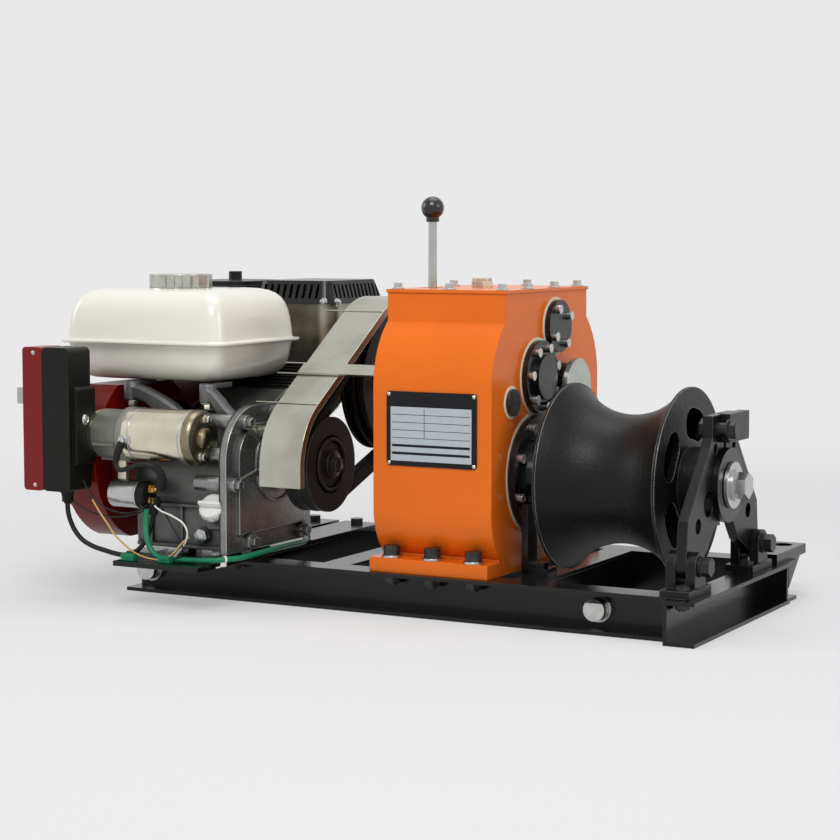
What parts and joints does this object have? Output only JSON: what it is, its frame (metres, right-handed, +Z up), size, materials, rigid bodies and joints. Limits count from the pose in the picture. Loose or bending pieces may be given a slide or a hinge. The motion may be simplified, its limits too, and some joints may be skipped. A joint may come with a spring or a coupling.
{
  "type": "engine-driven capstan winch",
  "caption": "Capstan winch on a channel-iron sled: petrol engine, belt drive, reduction gearbox with shift lever, and a concave drum held by two arms that swing open.",
  "frame": {"origin": "on the ground, on the gearbox's middle plane across the sled, under the cross member inboard of the drum", "axes": "+X from the engine to the drum, +Y across the sled away from the engine's starter side, +Z up"},
  "size_m": [0.886, 0.503, 0.495],
  "materials": {
    "frame_black": "gloss black enamel over hot-rolled channel",
    "orange_enamel": "gloss orange enamel over a casting",
    "cap_black": "satin black",
    "drum_black": "satin black painted casting",
    "zinc": "zinc-plated, semi-bright",
    "dark_bolts": "blackened steel",
    "bare_steel": "machined",
    "pulley_iron": "satin black",
    "guard_sheet": "brushed sheet with weld marks",
    "engine_alloy": "die-cast, matt",
    "engine_black": "satin black",
    "engine_red": "gloss red",
    "cream_enamel": "gloss cream enamel",
    "black_plastic": "fine texture",
    "gloss_black": "polished",
    "red_plastic": "moulded",
    "white_plastic": "moulded",
    "plate_metal": "printed dark with a bare panel",
    "belt_rubber": "worn",
    "black_cable": "smooth",
    "green_sleeve": "smooth"
  },
  "bodies": {
    "sled": {"near_rail": "frame_black", "far_rail": "frame_black", "cross_members": "frame_black", "anchor_lug": "frame_black", "engine_bearer": "frame_black", "frame_bolts": "dark_bolts", "gearbox_housing": "orange_enamel", "gearbox_cover": "orange_enamel", "gearbox_screws": "zinc", "oil_plugs": "zinc", "rating_plate": "plate_metal", "output_flange": "cap_black", "bearing_caps": "cap_black", "seal_disc": "zinc", "shaft_bearings": "bare_steel", "fork_rail": "bare_steel", "lever_bracket": "zinc", "outboard_bearing": "cap_black", "hinge_clevises": "frame_black", "hinge_pins": "dark_bolts", "flange_pillar": "frame_black", "drive_belts": "belt_rubber", "belt_guard": "guard_sheet", "crankcase": "engine_alloy", "side_cover": "engine_alloy", "engine_cylinder": "engine_black", "blower_housing": "engine_red", "recoil_housing": "engine_red", "fuel_tank": "cream_enamel", "tank_arms": "engine_alloy", "muffler": "engine_black", "muffler_guard": "engine_black", "air_cleaner": "black_plastic", "starter_motor": "zinc", "solenoid": "black_plastic", "control_box": "black_plastic", "control_cover": "red_plastic", "battery_cable": "black_cable", "green_cable": "green_sleeve"},
    "drum_line": {"drum": "drum_black", "drum_shaft": "bare_steel", "output_gear": "bare_steel", "drum_bolt": "zinc"},
    "counter_line": {"countershaft": "bare_steel"},
    "input_line": {"input_shaft": "bare_steel", "driven_pulley": "pulley_iron"},
    "dog": {"dog_ring": "bare_steel"},
    "crank_line": {"crankshaft": "bare_steel", "flywheel": "engine_alloy", "crank_pulley": "pulley_iron"},
    "lever": {"shift_lever": "zinc", "lever_knob": "gloss_black"},
    "fork": {"shift_fork": "bare_steel"},
    "near_support": {"near_arm": "frame_black", "clamp_bolt": "dark_bolts"},
    "far_support": {"far_arm": "frame_black"},
    "cap": {"fuel_cap": "zinc"},
    "dipstick": {"oil_dipstick": "white_plastic"},
    "key": {"key_switch": "zinc"},
    "grip": {"recoil_grip": "black_plastic"}
  },
  "joints": [
    {"name": "drum_spin", "type": "hinge", "parent": "sled", "child": "drum_line", "pos_m": [0, -0.04, 0.163], "axis": [1, 0, 0], "continuous": true},
    {"name": "counter_spin", "type": "hinge", "parent": "sled", "child": "counter_line", "pos_m": [-0.1, -0.02908, 0.27848], "axis": [1, 0, 0], "continuous": true},
    {"name": "input_spin", "type": "hinge", "parent": "sled", "child": "input_line", "pos_m": [-0.1, 0.04399, 0.26161], "axis": [1, 0, 0], "continuous": true},
    {"name": "crank_spin", "type": "hinge", "parent": "sled", "child": "crank_line", "pos_m": [-0.3, -0.125, 0.17], "axis": [1, 0, 0], "continuous": true},
    {"name": "lever_tilt", "type": "hinge", "parent": "sled", "child": "lever", "pos_m": [-0.163, -0.044, 0.368], "axis": [0, 1, 0], "range_deg": [-11, 11]},
    {"name": "fork_slide", "type": "slide", "parent": "sled", "child": "fork", "axis": [1, 0, 0], "range_m": [-0.006, 0.006]},
    {"name": "dog_slide", "type": "slide", "parent": "input_line", "child": "dog", "axis": [1, 0, 0], "range_m": [-0.006, 0.006]},
    {"name": "near_arm_swing", "type": "hinge", "parent": "sled", "child": "near_support", "pos_m": [0.208, -0.144, 0.083], "axis": [1, 0, 0], "range_deg": [0, 90]},
    {"name": "far_arm_swing", "type": "hinge", "parent": "sled", "child": "far_support", "pos_m": [0.208, 0.064, 0.083], "axis": [1, 0, 0], "range_deg": [-90, 0]},
    {"name": "cap_lift", "type": "slide", "parent": "sled", "child": "cap", "axis": [0, 0, 1], "range_m": [0, 0.06]},
    {"name": "dipstick_turn", "type": "hinge", "parent": "sled", "child": "dipstick", "pos_m": [-0.366, -0.205, 0.108], "axis": [0, -0.8192, 0.5736], "continuous": true},
    {"name": "key_turn", "type": "hinge", "parent": "sled", "child": "key", "pos_m": [-0.578, -0.2595, 0.25], "axis": [-1, 0, 0], "range_deg": [0, 60]},
    {"name": "grip_pull", "type": "slide", "parent": "sled", "child": "grip", "axis": [-1, 0, 0], "range_m": [0, 0.04], "stiffness_N_per_m": 40, "springref_m": -0.05}
  ],
  "couplings": [
    {"joint": "counter_spin", "follows": "drum_spin", "ratio": -3.1429},
    {"joint": "input_spin", "follows": "drum_spin", "ratio": 6.1008},
    {"joint": "crank_spin", "follows": "drum_spin", "ratio": 9.2564},
    {"joint": "fork_slide", "follows": "lever_tilt", "m_per_rad": -0.030386},
    {"joint": "dog_slide", "follows": "lever_tilt", "m_per_rad": -0.030386}
  ]
}
